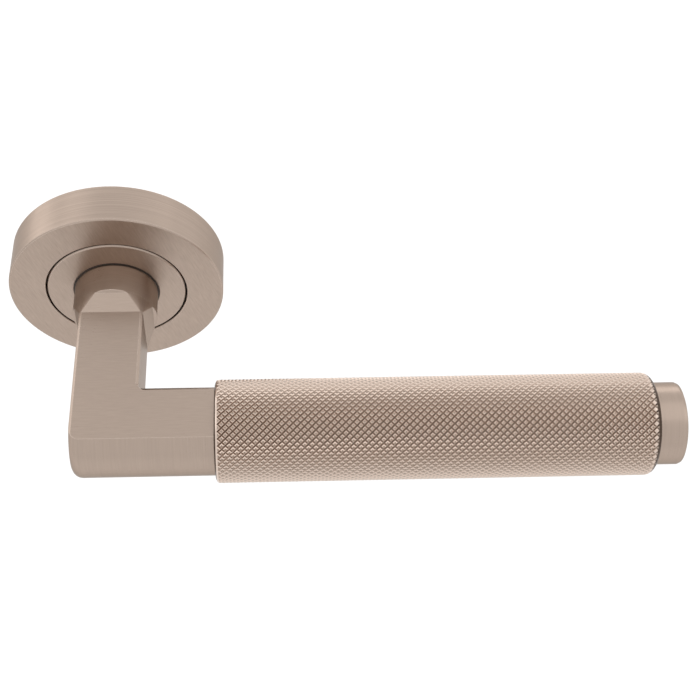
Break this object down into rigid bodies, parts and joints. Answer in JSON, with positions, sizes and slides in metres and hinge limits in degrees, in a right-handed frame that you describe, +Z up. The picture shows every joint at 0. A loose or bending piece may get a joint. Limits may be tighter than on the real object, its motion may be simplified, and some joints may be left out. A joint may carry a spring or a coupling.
{
  "type": "door lever handle on round rose",
  "caption": "Door lever handle: round rose, square-cut neck, and a straight round arm with a diamond-knurled grip and plain end cap.",
  "frame": {"origin": "the door face, at the spindle axis", "axes": "+X along the lever towards its free end, +Y into the door along the spindle, +Z up"},
  "size_m": [0.156, 0.0836, 0.052],
  "materials": {
    "satin_nickel": "warm satin nickel, fine straight brushing",
    "knurled_nickel": "warm satin nickel over diamond knurling",
    "zinc_casting": "dull plated casting",
    "turned_brass": "bare turned brass",
    "plated_steel": "bright zinc plate",
    "spring_steel": "dark oiled spring steel",
    "black_steel": "black oxide",
    "bearing_polymer": "black acetal",
    "black_rubber": "smooth black rubber"
  },
  "bodies": {
    "rose_base": {"base_plate": "zinc_casting", "locating_lugs": "turned_brass", "neck_bush": "bearing_polymer", "spring_seat": "bearing_polymer", "return_spring": "spring_steel", "stop_pins": "plated_steel", "rose_centre_disc": "satin_nickel", "disc_screws": "plated_steel", "neck_seal_ring": "bearing_polymer", "cover_o_ring": "black_rubber"},
    "cover": {"rose_cover": "satin_nickel"},
    "lever": {"lever_body": "satin_nickel", "spring_driver": "plated_steel", "thrust_washer": "plated_steel", "retaining_ring": "spring_steel", "spindle": "plated_steel", "spindle_grub_screw": "black_steel", "grip_sleeve": "knurled_nickel", "grip_dowel": "plated_steel", "tie_stud": "plated_steel", "end_cap": "satin_nickel", "cap_o_ring": "black_rubber"}
  },
  "joints": [
    {"name": "lever_turn", "type": "hinge", "parent": "rose_base", "child": "lever", "pos_m": [0, 0, 0], "axis": [0, 1, 0], "range_deg": [0, 50], "stiffness_Nm_per_rad": 0.9, "springref_deg": -34.38, "deforming": ["return_spring"]},
    {"name": "rose_cover_slide", "type": "slide", "parent": "rose_base", "child": "cover", "axis": [0, -1, 0], "range_m": [0, 0.028]}
  ]
}
